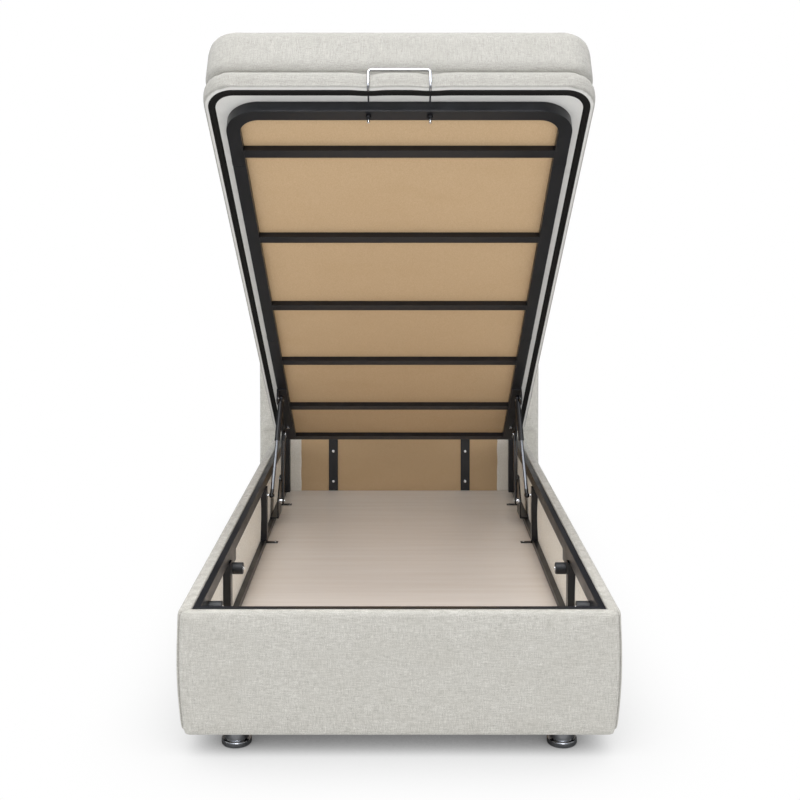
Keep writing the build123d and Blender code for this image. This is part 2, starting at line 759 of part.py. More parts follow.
def strut_cylinder(sign):
    """The hollow cylinder, closed at its top, with the ball socket at its upper end."""
    base, reach = strut_frame(sign)
    cylinder_start = reach - strut_neck_long - strut_cylinder_length
    with BuildPart() as piece:
        with Locations(base.offset(reach).location):
            Sphere(strut_ball_radius)
        with BuildSketch(base.offset(reach - strut_neck_long)):
            Circle(strut_neck_radius)
        extrude(amount=strut_neck_long)
        with BuildSketch(base.offset(cylinder_start)):
            Circle(strut_radius)
        extrude(amount=strut_cylinder_length)
        with BuildSketch(base.offset(cylinder_start)):
            Circle(strut_rod_radius + running_gap)
        extrude(amount=strut_cap_long, mode=Mode.SUBTRACT)
        with BuildSketch(base.offset(cylinder_start + strut_cap_long)):
            Circle(strut_radius - strut_wall)
        extrude(amount=strut_cylinder_length - 2 * strut_cap_long, mode=Mode.SUBTRACT)
    return piece


for side_name, side in sides:
    finish(strut_rod(side), f"strut_rod_{side_name}")
    finish(strut_cylinder(side), f"strut_cylinder_{side_name}")

# Lid platform: a bent foot tube, side tubes joined over sleeves, cross bars and a board
joint_gap = 1.2
near_foot_joint_share = 0.8875
near_head_joint_share = 0.4052
sleeve_long = 120.0
a_foot_joint = a_head + near_foot_joint_share * platform_length
a_head_joint = a_head + near_head_joint_share * platform_length
a_bow_start = a_foot_joint + joint_gap / 2

# Places of the foot hoop, needed for the holes in the foot tube
hoop_wire_radius = 3.0
hoop_spacing = 140.0
hoop_bend_radius = 9.0
hoop_top_p = 79.0
hoop_tail = 20.0
a_hoop_leg = a_foot - tube_wide / 2
a_hoop_front = a_foot + mattress_over_foot + hoop_wire_radius + fit_gap
p_hoop_under = tube_tall + hoop_wire_radius + fit_gap
hoop_sides = (-hoop_spacing / 2, hoop_spacing / 2)


def bow_panel(plane, half_width, a_start, a_end, corner):
    """A panel of the lid with its two foot corners rounded."""
    with BuildSketch(plane) as panel:
        with BuildLine():
            bend = FilletPolyline(
                (-half_width, -a_start),
                (-half_width, -a_end),
                (half_width, -a_end),
                (half_width, -a_start),
                radius=corner,
            )
            Line(bend @ 1, bend @ 0)
        make_face()
    return panel.sketch


def bow_ring(p, tall, wall, a_start):
    """The bent tube's outline, drawn in by a wall, over a height from p."""
    low = lid_plane.offset(p)
    inner_end = a_foot - tube_wide + wall
    inner_corner = platform_corner_radius - tube_wide + wall
    outer = bow_panel(low, x_tube_outer - wall, a_start, a_foot - wall, platform_corner_radius - wall)
    inner = bow_panel(
        low.offset(-cut_overrun), x_tube_inner + wall, a_start - cut_overrun, inner_end, inner_corner
    )
    with BuildPart() as ring:
        extrude(outer, amount=tall)
        extrude(inner, amount=tall + 2 * cut_overrun, mode=Mode.SUBTRACT)
    return ring.part


bow_bore = bow_ring(tube_wall, tube_tall - 2 * tube_wall, tube_wall, a_bow_start - cut_overrun)
with BuildPart() as foot_bow:
    add(bow_ring(0, tube_tall, 0, a_bow_start))
    add(bow_bore, mode=Mode.SUBTRACT)
    with BuildSketch(lid_plane.offset(-cut_overrun)):
        with Locations(*[(x, -a_hoop_leg) for x in hoop_sides]):
            Circle(hoop_wire_radius + running_gap)
    extrude(amount=tube_tall + 2 * cut_overrun, mode=Mode.SUBTRACT)
    bend_room = hoop_bend_radius / 2
    with BuildSketch(lid_plane.offset(tube_tall / 2)):
        with Locations(*[(x, -a_hoop_leg - bend_room / 2) for x in hoop_sides]):
            SlotCenterToCenter(bend_room, 2 * (hoop_wire_radius + fit_gap), rotation=90)
    extrude(amount=tube_tall / 2 + cut_overrun, mode=Mode.SUBTRACT)
finish(foot_bow, "foot_bow")


def lid_run_plane(x, a):
    """A plane square to the side tubes, at the middle of their height, facing the foot."""
    return Plane(origin=lid_point(x, a, tube_tall / 2), x_dir=(1, 0, 0), z_dir=(0, -lid_cos, lid_sin))


x_tube_middle = (x_tube_outer + x_tube_inner) / 2


def lid_tubes(spans, wide, tall):
    """Rectangular tubes along both sides of the lid, over spans of a."""
    with BuildPart() as piece:
        for _, sign in sides:
            for a_start, a_end in spans:
                with BuildSketch(lid_run_plane(sign * x_tube_middle, a_start)):
                    Rectangle(wide, tall)
                    Rectangle(wide - 2 * tube_wall, tall - 2 * tube_wall, mode=Mode.SUBTRACT)
                extrude(amount=a_end - a_start)
    return piece


middle_span = (a_head_joint + joint_gap / 2, a_foot_joint - joint_gap / 2)
head_span = (a_head, a_head_joint - joint_gap / 2)
finish(lid_tubes([middle_span], tube_wide, tube_tall), "middle_side_tubes")
finish(lid_tubes([head_span], tube_wide, tube_tall), "head_side_tubes")

sleeve_inset = 2 * (tube_wall + fit_gap)
sleeve_spans = [(a - sleeve_long / 2, a + sleeve_long / 2) for a in (a_head_joint, a_foot_joint)]
finish(lid_tubes(sleeve_spans, tube_wide - sleeve_inset, tube_tall - sleeve_inset), "joint_sleeves")

# Small clips on the outer faces of the side tubes at their joints
clip_long = 22.0
clip_tall = 12.0
clip_thick = 2.5
with BuildPart() as tube_clips:
    for _, side in sides:
        with BuildSketch(lid_side_plane(side * x_tube_outer)):
            with Locations((-a_head_joint, tube_tall / 2), (-a_foot_joint, tube_tall / 2)):
                RectangleRounded(clip_long, clip_tall, clip_thick)
        extrude(amount=side * clip_thick)
finish(tube_clips, "tube_clips")

# Cross bars, spaced as on the real lid, the last one flush with the head end
cross_bar_shares = (0.9129, 0.7102, 0.5143, 0.3250, 0.1439)
cross_bar_rows = [a_head + share * platform_length for share in cross_bar_shares]
cross_bar_rows.append(a_head + cross_bar_wide / 2)
for number, a_bar in enumerate(cross_bar_rows, start=1):
    bar_start = lid_point(-x_tube_inner, a_bar, cross_bar_tall / 2)
    with BuildPart() as cross_bar:
        with BuildSketch(Plane(origin=bar_start, x_dir=(0, lid_cos, -lid_sin), z_dir=(1, 0, 0))):
            Rectangle(cross_bar_wide, cross_bar_tall)
            Rectangle(cross_bar_wide - 2 * tube_wall, cross_bar_tall - 2 * tube_wall, mode=Mode.SUBTRACT)
        extrude(amount=2 * x_tube_inner)
    finish(cross_bar, f"cross_bar_{number}")

board_corner = platform_corner_radius - tube_wide - fit_gap
board_foot = a_foot - tube_wide - fit_gap
board_panel = bow_panel(
    lid_plane.offset(cross_bar_tall), x_tube_inner - fit_gap, a_head, board_foot, board_corner
)
with BuildPart() as platform_board:
    extrude(board_panel, amount=tube_tall - cross_bar_tall - fit_gap)
finish(platform_board, "platform_board")

# Mattress: a ridged binding at its lower edge, a lower layer and an upper layer with soft edges
binding_wide = 18.0
binding_tall = 8.0
binding_inset = 12.0
binding_groove = 1.6
binding_edge_radius = 2.4
waist_inset = 4.0
bulge_share = 0.3
crown = 3.0
crown_inset = 150.0
channel_gap = 0.6
plan_corner_least = 6.0
edge_steps = 5
p_mattress = tube_tall
p_layer = p_mattress + binding_tall
p_seam = p_mattress + lower_layer_thick
p_top = p_mattress + mattress_thick
a_mattress_foot = a_foot + mattress_over_foot
a_mattress = (a_mattress_foot + a_head - mattress_over_head) / 2
mattress_width = 2 * (x_tube_outer + mattress_over_sides)
mattress_length = platform_length + mattress_over_foot + mattress_over_head
lid_up = Axis(origin=(0, 0, 0), direction=(0, lid_sin, lid_cos))


def mattress_section(p, inset):
    """One rounded rectangle of the mattress, drawn in by an inset, at a height in the lid's frame."""
    with BuildSketch(lid_plane.offset(p)) as section:
        with Locations((0, -a_mattress)):
            RectangleRounded(
                mattress_width - 2 * inset,
                mattress_length - 2 * inset,
                max(mattress_corner_radius - inset, plan_corner_least),
            )
    return section.sketch


def cut_hoop_channels():
    """Cut the channels that the foot hoop's wire lies in, under the mattress."""
    channel = 2 * (hoop_wire_radius + channel_gap)
    a_start = a_hoop_leg - channel / 2
    a_end = a_mattress_foot + cut_overrun
    with BuildSketch(lid_plane.offset(p_mattress - cut_overrun)) as channels:
        with Locations(*[(x, -(a_start + a_end) / 2) for x in hoop_sides]):
            Rectangle(channel, a_end - a_start)
    extrude(channels.sketch, amount=channel + cut_overrun, mode=Mode.SUBTRACT)


binding_hole = mattress_section(p_mattress, binding_inset + binding_wide)
with BuildPart() as mattress_binding:
    extrude(mattress_section(p_mattress, binding_inset), amount=binding_tall)
    extrude(binding_hole, amount=binding_tall, mode=Mode.SUBTRACT)
    fillet(mattress_binding.faces().group_by(lid_up)[0].edges(), binding_edge_radius)
    groove_middle = binding_inset + binding_wide / 2
    groove_outer = mattress_section(p_mattress, groove_middle - binding_groove / 2)
    groove_inner = mattress_section(p_mattress, groove_middle + binding_groove / 2)
    extrude(groove_outer - groove_inner, amount=binding_edge_radius, mode=Mode.SUBTRACT)
    cut_hoop_channels()
finish(mattress_binding, "mattress_binding")

lower_sections = []
for step in range(2 * edge_steps + 1):
    along = step / edge_steps - 1
    p_step = p_layer + (p_seam - p_layer) * (along + 1) / 2
    lower_sections.append(mattress_section(p_step, waist_inset * along**2))
with BuildPart() as mattress_lower_layer:
    loft(lower_sections, ruled=True)
    extrude(binding_hole, amount=binding_tall)
    cut_hoop_channels()
finish(mattress_lower_layer, "mattress_lower_layer")

p_edge = p_top - crown - mattress_edge_radius
p_bulge = p_seam + bulge_share * (p_edge - p_seam)
upper_sections = []
for step in range(edge_steps):
    rise = step / edge_steps
    waist = waist_inset * (1 - rise) ** 2
    upper_sections.append(mattress_section(p_seam + (p_bulge - p_seam) * rise, waist))
upper_sections.append(mattress_section(p_bulge, 0))
for step in range(edge_steps + 1):
    turn = pi / 2 * step / edge_steps
    inset = mattress_edge_radius * (1 - cos(turn))
    upper_sections.append(mattress_section(p_edge + mattress_edge_radius * sin(turn), inset))
upper_sections.append(mattress_section(p_top, crown_inset))
with BuildPart() as mattress_upper_layer:
    loft(upper_sections, ruled=True)
finish(mattress_upper_layer, "mattress_upper_layer")

# Wire hoop at the foot that holds the mattress, and the nuts on its threaded ends
hoop_points = []
for x in hoop_sides:
    leg = [
        lid_point(x, a_hoop_leg, -hoop_tail),
        lid_point(x, a_hoop_leg, p_hoop_under),
        lid_point(x, a_hoop_front, p_hoop_under),
        lid_point(x, a_hoop_front, hoop_top_p),
    ]
    hoop_points += leg if x < 0 else leg[::-1]
with BuildPart() as mattress_hoop:
    with BuildLine() as hoop_path:
        FilletPolyline(*hoop_points, radius=hoop_bend_radius)
    with BuildSketch(Plane(origin=hoop_points[0], x_dir=(1, 0, 0), z_dir=(0, lid_sin, lid_cos))):
        Circle(hoop_wire_radius)
    sweep(path=hoop_path.wire())
finish(mattress_hoop, "mattress_hoop")

nut_across = 11.0
nut_tall = 7.0
with BuildPart() as hoop_nuts:
    with BuildSketch(lid_plane.offset(-nut_tall)):
        with Locations(*[(x, -a_hoop_leg) for x in hoop_sides]):
            RegularPolygon(nut_across / 2, 6, major_radius=False)
            Circle(hoop_wire_radius + running_gap, mode=Mode.SUBTRACT)
    extrude(amount=nut_tall)
finish(hoop_nuts, "hoop_nuts")
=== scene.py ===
import json
from math import cos, pi, radians, sin

import bmesh
import bpy
from mathutils import Matrix, Vector, noise


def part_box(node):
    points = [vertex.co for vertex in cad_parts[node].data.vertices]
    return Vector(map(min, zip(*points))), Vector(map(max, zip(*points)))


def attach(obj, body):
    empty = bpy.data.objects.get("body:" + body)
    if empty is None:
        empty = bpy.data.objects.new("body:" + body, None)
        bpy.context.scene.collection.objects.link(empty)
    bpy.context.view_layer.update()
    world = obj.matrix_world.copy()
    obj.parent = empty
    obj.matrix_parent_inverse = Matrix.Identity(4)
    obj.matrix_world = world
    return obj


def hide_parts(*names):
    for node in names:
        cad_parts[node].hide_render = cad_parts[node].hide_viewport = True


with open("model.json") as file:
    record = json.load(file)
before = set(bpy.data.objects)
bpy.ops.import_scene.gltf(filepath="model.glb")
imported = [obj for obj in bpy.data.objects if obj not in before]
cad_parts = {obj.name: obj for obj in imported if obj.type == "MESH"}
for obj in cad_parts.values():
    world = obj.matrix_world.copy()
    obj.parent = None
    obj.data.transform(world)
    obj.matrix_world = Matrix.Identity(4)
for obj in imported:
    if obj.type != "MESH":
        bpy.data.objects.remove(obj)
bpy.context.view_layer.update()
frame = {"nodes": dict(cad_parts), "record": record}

# Sizes in metres, in the frame's own axes: X right, Y from foot to head, Z up
MM = 0.001
NEAR = 1e-5
LID_TILT = radians(34.6)
LID_ORIGIN = Vector((0.0, 0.6706, 0.3562))
TO_LID = Matrix.Translation(LID_ORIGIN) @ Matrix.Rotation(-LID_TILT, 4, "X")
SOCKET_TOP = 0.272

# The mattress in the lid's frame: x across, y from the foot up to the head, z square to the board
MATTRESS_HALF = 0.450
MATTRESS_FOOT = -1.843
MATTRESS_HEAD = 0.057
MATTRESS_UNDER = 0.028
MATTRESS_SEAM = 0.085
MATTRESS_TOP = 0.222
PLAN_CORNER = 0.075
LAYER_LAP = 0.001
HOOP_HALF = 0.070

# How far the lower layer swells at its foot and its sides, and the least share of it at a foot edge
FOOT_BULGE = 0.007
SIDE_BULGE = 0.002
LEAST_BULGE = 0.35

# The tape under the mattress: the width and the rise of each step from its outer to its inner edge
TAPE_TALL = 0.008
TAPE_INSET = 0.012
TAPE_PROUD = 0.0006
TAPE_THICK = 0.0012
TAPE_STEPS = ((0.0035, -0.0016), (0.0035, 0.0016), (0.0020, 0.0), (0.0035, -0.0016), (0.0055, 0.0030))

# Padded boards of the base: the height where they stand out furthest, and how far they draw in
BOARD_CREST = 0.194
DRAW_BOTTOM = 0.011
DRAW_TOP = 0.004
foot_low, foot_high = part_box("footboard")

# Stitches beside the front corners, with the room left below the first and above the last
STITCH_PITCH = 0.0036
STITCH_START = 0.012
STITCH_END = 0.010
STITCH_SIZE = (0.0009, 0.0007, 0.0013)
STITCH_BESIDE = 0.0030
STITCH_BEHIND = 0.0004

# Thin cloth on the boards
LINING_THICK = 0.001
LINING_SLACK = 0.0025
LINING_WAVE = 0.002
WRAP_INNER = 0.370
WRAP_LIFT = 0.0006
WRAP_WAVE = 0.0015

# How padding is swollen
SWELL_STEPS = 20
SWELL_QUALITY = 4
SWELL_PRESSURE = 4.0


def linear(code):
    """An sRGB hex colour as linear red, green, blue and alpha."""
    shares = [int(code[k:k + 2], 16) / 255 for k in (1, 3, 5)]
    return [c / 12.92 if c <= 0.04045 else ((c + 0.055) / 1.055) ** 2.4 for c in shares] + [1.0]


def add_node(tree, kind, sockets=None, **settings):
    """Add a node with its settings. Each socket named gets a value, or a link if it is given an output."""
    made = tree.nodes.new(kind)
    for name, value in settings.items():
        setattr(made, name, value)
    for key, value in (sockets or {}).items():
        if isinstance(value, bpy.types.NodeSocket):
            tree.links.new(value, made.inputs[key])
        else:
            made.inputs[key].default_value = value
    return made


def new_material(name, **values):
    """A material with its shader's plain values set. Socket names are given with underscores for spaces."""
    material = bpy.data.materials.new(name)
    material.use_nodes = True
    shader = material.node_tree.nodes["Principled BSDF"]
    for key, value in values.items():
        shader.inputs[key.replace("_", " ")].default_value = value
    return material, material.node_tree, shader


def streaks(tree, sizes_mm, turn=0.0, detail=2.0):
    """Noise whose grains have a size in millimetres along each axis, turned about X to follow the lid."""
    place = add_node(tree, "ShaderNodeTexCoord").outputs["Object"]
    if turn:
        place = add_node(tree, "ShaderNodeMapping", {"Vector": place, "Rotation": (turn, 0, 0)}).outputs[0]
    scale = tuple(1 / (size * MM) for size in sizes_mm)
    place = add_node(tree, "ShaderNodeMapping", {"Vector": place, "Scale": scale}).outputs[0]
    grain = {"Vector": place, "Scale": 1.0, "Detail": detail}
    return add_node(tree, "ShaderNodeTexNoise", grain).outputs[0]


def toned(tree, pattern, spread, first, second, most=1.0):
    """A colour that goes from a first to a second as a pattern goes through its spread, at most by a share.
    The first may come from other nodes."""
    span = {"Value": pattern, "From Min": spread[0], "From Max": spread[1], "To Max": most}
    share = add_node(tree, "ShaderNodeMapRange", span).outputs[0]
    start = linear(first) if isinstance(first, str) else first
    mixed = add_node(tree, "ShaderNodeMix", {0: share, 6: start, 7: linear(second)}, data_type="RGBA")
    return mixed.outputs[2]


def relief(tree, shader, height, depth_mm, edge_mm=0.0):
    """Give the shader small relief of a real depth. Sharp edges may be rounded under it, as by a coating."""
    bump = {"Height": height, "Distance": depth_mm * MM}
    if edge_mm:
        bump["Normal"] = add_node(tree, "ShaderNodeBevel", {"Radius": edge_mm * MM}, samples=6).outputs[0]
    tree.links.new(add_node(tree, "ShaderNodeBump", bump).outputs[0], shader.inputs["Normal"])


def uneven_polish(tree, shader, pattern, spread, smoothest, roughest):
    """Let the roughness wander between two values as a pattern goes through its spread."""
    polish = {
        "Value": pattern, "From Min": spread[0], "From Max": spread[1],
        "To Min": smoothest, "To Max": roughest,
    }
    tree.links.new(add_node(tree, "ShaderNodeMapRange", polish).outputs[0], shader.inputs["Roughness"])


def woven_cloth(name, dark, light, mottle, thread_mm, slub_mm, turn=0.0, under=None):
    """Plain-woven polyester in the manner of linen: crossed threads of uneven tone, with thicker slubs. Faces
    that look down, square to the tilted lid, may be painted a paler tone: painted light from below."""
    material, tree, shader = new_material(
        name, Roughness=0.92, Sheen_Weight=0.12, Sheen_Roughness=0.5, Specular_IOR_Level=0.25
    )
    warp = streaks(tree, (thread_mm, thread_mm, slub_mm), turn, 3.0)
    weft = streaks(tree, (slub_mm, slub_mm, thread_mm), turn, 3.0)
    weave = add_node(tree, "ShaderNodeMix", {0: 0.5, 2: warp, 3: weft}).outputs[0]
    fleck = streaks(tree, (thread_mm * 0.6,) * 3, turn)
    threads = add_node(tree, "ShaderNodeMix", {0: 0.5, 2: weave, 3: fleck}).outputs[0]
    cloud = streaks(tree, (90, 90, 60), turn, 3.0)
    tone = toned(tree, threads, (0.36, 0.64), dark, light)
    tone = toned(tree, cloud, (0.45, 0.75), tone, mottle, 0.3)
    # Painted light: faces that look down, square to the lid, are made paler to stand in for light from below.
    if under:
        facing = add_node(tree, "ShaderNodeTexCoord").outputs["Normal"]
        sides = {0: facing, 1: (0.0, -sin(turn), -cos(turn))}
        painted_light_facing = add_node(tree, "ShaderNodeVectorMath", sides, operation="DOT_PRODUCT").outputs["Value"]
        tone = toned(tree, painted_light_facing, (0.88, 0.98), tone, under, 0.75)
    tree.links.new(tone, shader.inputs["Base Color"])
    relief(tree, shader, threads, 0.5)
    return material


def grey_linen():
    """Light grey linen-look upholstery. Its threads are really 0.5 mm apart and are drawn nearly three
    times coarser, so that the cross-hatching shows from where the camera stands."""
    return woven_cloth("woven_grey_linen", "#95928A", "#DBD9D2", "#B3B0A7", 1.35, 19.0)


def mattress_cloth():
    """The same family of cloth on the mattress, its threads drawn as coarse and laid along the lid. Its
    downward faces are painted paler, as painted light standing in for light from below."""
    # The last colour is painted light, a paler tone on the downward faces, not a cloth of its own.
    return woven_cloth(
        "woven_mattress_cloth", "#87857F", "#C1BFB9", "#9E9C95", 1.3, 18.0, LID_TILT, "#F0EFEB"
    )


def seam_thread():
    """Grey polyester sewing thread, a little darker than the cloth it holds."""
    material, tree, shader = new_material("grey_seam_thread", Roughness=0.7)
    ply = streaks(tree, (0.8, 0.8, 1.6))
    tree.links.new(toned(tree, ply, (0.3, 0.7), "#85837D", "#9C9A94"), shader.inputs["Base Color"])
    return material


def lining_cloth():
    """Thin cream lining: a flat calendered nonwoven with faint fibres."""
    material, tree, shader = new_material("nonwoven_cream_lining", Roughness=0.85, Sheen_Weight=0.05)
    fibre = streaks(tree, (3.0, 9.0, 3.0), detail=4.0)
    tree.links.new(toned(tree, fibre, (0.35, 0.65), "#E9E3D7", "#F7F3EA"), shader.inputs["Base Color"])
    relief(tree, shader, fibre, 0.4)
    return material


def binding_tape():
    """Black woven tape: matt polyester yarn, which shows as a fine uneven grain."""
    material, tree, shader = new_material("woven_black_tape", Roughness=0.8, Specular_IOR_Level=0.3)
    yarn = streaks(tree, (1.6, 1.6, 1.6), LID_TILT)
    tree.links.new(toned(tree, yarn, (0.3, 0.7), "#0A0A09", "#1F1D1A"), shader.inputs["Base Color"])
    relief(tree, shader, yarn, 0.5)
    return material


def coated_steel(name, dark, light, roughness, edge_mm=1.6):
    """Powder-coated mild steel: satin, very slightly pebbled, with light caught along its rolled edges."""
    material, tree, shader = new_material(name, Specular_IOR_Level=0.45)
    pebble = streaks(tree, (1.5, 1.5, 1.5))
    cloud = streaks(tree, (45, 120, 45), detail=3.0)
    both = add_node(tree, "ShaderNodeMix", {0: 0.3, 2: cloud, 3: pebble}).outputs[0]
    tree.links.new(toned(tree, both, (0.35, 0.65), dark, light), shader.inputs["Base Color"])
    uneven_polish(tree, shader, cloud, (0.3, 0.7), roughness - 0.05, roughness + 0.08)
    relief(tree, shader, pebble, 0.08, edge_mm)
    return material


def raw_fibreboard():
    """Bare medium-density fibreboard: warm beige, with fine fibres and faint blotches from the press."""
    material, tree, shader = new_material("pressed_fibreboard", Roughness=0.78, Specular_IOR_Level=0.3)
    fibre = streaks(tree, (1.6, 4.0, 1.6), LID_TILT, 3.0)
    blotch = streaks(tree, (160, 90, 90), LID_TILT, 3.0)
    tone = toned(tree, fibre, (0.32, 0.68), "#C8A982", "#D3B690")
    tone = toned(tree, blotch, (0.5, 0.75), tone, "#BC9A70", 0.15)
    tree.links.new(tone, shader.inputs["Base Color"])
    relief(tree, shader, fibre, 0.03)
    return material


def floor_laminate():
    """Foil-faced board in pale oak: a smooth printed grain that runs across the bed."""
    material, tree, shader = new_material("foiled_pale_board", Roughness=0.5, Coat_Weight=0.1)
    grain = streaks(tree, (420, 22, 22), detail=5.0)
    pore = streaks(tree, (60, 2.5, 2.5))
    lines = add_node(tree, "ShaderNodeMix", {0: 0.25, 2: grain, 3: pore}).outputs[0]
    tree.links.new(toned(tree, lines, (0.3, 0.7), "#EEE5DC", "#F6EFE8"), shader.inputs["Base Color"])
    relief(tree, shader, lines, 0.03)
    return material


def sawn_timber():
    """Sawn spruce battens: yellowish, with grain along their length."""
    material, tree, shader = new_material("sawn_spruce", Roughness=0.75)
    grain = streaks(tree, (180, 5, 5), detail=4.0)
    tree.links.new(toned(tree, grain, (0.3, 0.7), "#B28B5C", "#D9B98A"), shader.inputs["Base Color"])
    relief(tree, shader, grain, 0.3)
    return material


def plated_metal(name, colour, roughness, blotch_roughness):
    """Plated steel: a mirror or a satin metal, slightly uneven in its polish, with softened edges."""
    material, tree, shader = new_material(name, Metallic=1.0, Base_Color=linear(colour))
    uneven_polish(tree, shader, streaks(tree, (12, 12, 12)), (0.35, 0.65), roughness, blotch_roughness)
    edges = add_node(tree, "ShaderNodeBevel", {"Radius": 0.6 * MM}, samples=6)
    tree.links.new(edges.outputs[0], shader.inputs["Normal"])
    return material


def rod_and_socket():
    """A chrome-plated rod whose ball socket, at its lower end, is moulded in glossy black nylon."""
    material, tree, shader = new_material("chrome_rod_with_black_socket")
    place = add_node(tree, "ShaderNodeTexCoord").outputs["Object"]
    height = add_node(tree, "ShaderNodeSeparateXYZ", {0: place}).outputs[2]
    join = {"Value": height, "From Min": SOCKET_TOP, "From Max": SOCKET_TOP + 0.5 * MM}
    above = add_node(tree, "ShaderNodeMapRange", join).outputs[0]
    colours = {0: above, 6: linear("#0C0C0E"), 7: linear("#77797D")}
    tone = add_node(tree, "ShaderNodeMix", colours, data_type="RGBA").outputs[2]
    tree.links.new(tone, shader.inputs["Base Color"])
    tree.links.new(above, shader.inputs["Metallic"])
    uneven_polish(tree, shader, streaks(tree, (12, 12, 12)), (0.35, 0.65), 0.1, 0.18)
    return material


def moulded(name, dark, light):
    """Moulded rubber or nylon: dull black with a fine grit from the mould."""
    material, tree, shader = new_material(name, Roughness=0.5)
    grit = streaks(tree, (1.2, 1.2, 1.2))
    tree.links.new(toned(tree, grit, (0.3, 0.7), dark, light), shader.inputs["Base Color"])
    relief(tree, shader, grit, 0.1, 1.0)
    return material


finishes = {
    "grey_linen": grey_linen(),
    "lining_cloth": lining_cloth(),
    "raw_board": raw_fibreboard(),
    "floor_laminate": floor_laminate(),
    "bearer_timber": sawn_timber(),
    "black_steel": coated_steel("powder_coated_black_steel", "#0E0F12", "#17181D", 0.33),
    "dark_arm_steel": coated_steel("painted_dark_steel", "#0C0C0E", "#151518", 0.34),
    "zinc_hardware": plated_metal("bright_zinc_plate", "#E4E6E8", 0.16, 0.28),
    "bumper_rubber": moulded("moulded_black_rubber", "#111214", "#1E2023"),
    "chrome_plate": plated_metal("polished_chrome_plate", "#C4C6CA", 0.05, 0.09),
    "strut_paint": coated_steel("gloss_black_strut_paint", "#141416", "#1C1C20", 0.2, 0.8),
    "clip_plastic": moulded("moulded_black_nylon", "#121213", "#1D1D1F"),
    "dark_nut": plated_metal("blackened_steel", "#3A3A3C", 0.4, 0.5),
    "mattress_fabric": mattress_cloth(),
    "binding_tape": binding_tape(),
    "strut_rod": rod_and_socket(),
    "seam_thread": seam_thread(),
}

slot_of = {part["node"]: part["material_slot"] for part in frame["record"]["subparts"]}


def dress(piece, finish):
    """Give a piece its finish."""
    piece.data.materials.clear()
    piece.data.materials.append(finishes[finish])


for node_name, node in frame["nodes"].items():
    dress(node, "strut_rod" if node_name.startswith("strut_rod") else slot_of[node_name])


def smooth_faces(mesh):
    """Shade all the faces of a mesh smooth."""
    mesh.polygons.foreach_set("use_smooth", [True] * len(mesh.polygons))


def piece_from(bm, name, slot):
    """Turn a bmesh into an object with a finish and smooth faces that point outwards."""
    bmesh.ops.recalc_face_normals(bm, faces=bm.faces)
    mesh = bpy.data.meshes.new(name)
    bm.to_mesh(mesh)
    bm.free()
    smooth_faces(mesh)
    piece = bpy.data.objects.new(name, mesh)
    bpy.context.scene.collection.objects.link(piece)
    dress(piece, slot)
    return piece


def level_edges(bm, axis, level):
    """The edges whose two ends both lie at a level along an axis."""
    return [e for e in bm.edges if all(abs(v.co[axis] - level) < NEAR for v in e.verts)]


def edges_along(bm, axis, low, high):
    """The edges that run from one level to another along an axis."""
    return [e for e in bm.edges if {round(v.co[axis], 5) for v in e.verts} == {round(low, 5), round(high, 5)}]


def round_edges(bm, edges, radius, segments):
    """Round edges over."""
    bmesh.ops.bevel(
        bm, geom=edges, offset=radius, segments=segments, affect="EDGES", profile=0.5, material=-1,
        offset_type="OFFSET", clamp_overlap=True,
    )


def box_mesh(low, high):
    """A plain box between two corners, to be shaped further."""
    bm = bmesh.new()
    size = Vector(high) - Vector(low)
    place = Matrix.Translation((Vector(low) + Vector(high)) / 2) @ Matrix.Diagonal((*size, 1.0))
    bmesh.ops.create_cube(bm, size=1.0, matrix=place)
    return bm


def slab(low, high, corner, top, bottom):
    """A slab with rounded plan corners and rounded top and bottom edges."""
    bm = box_mesh(low, high)
    round_edges(bm, edges_along(bm, 2, low[2], high[2]), corner, segments=8)
    round_edges(bm, level_edges(bm, 2, high[2]), top, segments=5)
    round_edges(bm, level_edges(bm, 2, low[2]), bottom, segments=3)
    return bm


def settled_mesh(piece):
    """The piece's mesh as its modifiers leave it."""
    graph = bpy.context.evaluated_depsgraph_get()
    return bpy.data.meshes.new_from_object(piece.evaluated_get(graph))


def stuff(piece, cell, cap, held):
    """Stuff a closed shape: remesh it in even cells and swell it as cloth under pressure. Points that are
    held stay, and no point moves further than the cap."""
    remesh = piece.modifiers.new("even_cells", "REMESH")
    remesh.mode = "VOXEL"
    remesh.voxel_size = cell
    even = settled_mesh(piece)
    piece.modifiers.clear()
    piece.data = even
    rest = [v.co.copy() for v in even.vertices]
    group = piece.vertex_groups.new(name="held")
    group.add([k for k, co in enumerate(rest) if held(co)], 1.0, "REPLACE")
    cloth = piece.modifiers.new("swelling", "CLOTH")
    cloth.settings.quality = SWELL_QUALITY
    cloth.settings.use_pressure = True
    cloth.settings.uniform_pressure_force = SWELL_PRESSURE
    cloth.settings.effector_weights.gravity = 0.0
    cloth.settings.vertex_group_mass = "held"
    scene = bpy.context.scene
    for step in range(1, SWELL_STEPS + 1):
        scene.frame_set(step)
    swollen = settled_mesh(piece)
    for k, vertex in enumerate(swollen.vertices):
        move = vertex.co - rest[k]
        if move.length > cap:
            move = move.normalized() * cap
        even.vertices[k].co = rest[k] + move
    piece.modifiers.clear()
    scene.frame_set(1)
    bpy.data.meshes.remove(swollen)
    smooth_faces(even)
    finer = piece.modifiers.new("finer", "SUBSURF")
    finer.levels = finer.render_levels = 1


def fit_to(piece, low, high):
    """Stretch a piece so that, with its modifiers, it fills the space between two corners."""
    settled = settled_mesh(piece)
    now_low = [min(v.co[k] for v in settled.vertices) for k in range(3)]
    now_high = [max(v.co[k] for v in settled.vertices) for k in range(3)]
    bpy.data.meshes.remove(settled)
    grow = [(high[k] - low[k]) / (now_high[k] - now_low[k]) for k in range(3)]
    back = Matrix.Translation([-value for value in now_low])
    piece.data.transform(Matrix.Translation(low) @ Matrix.Diagonal((*grow, 1.0)) @ back)


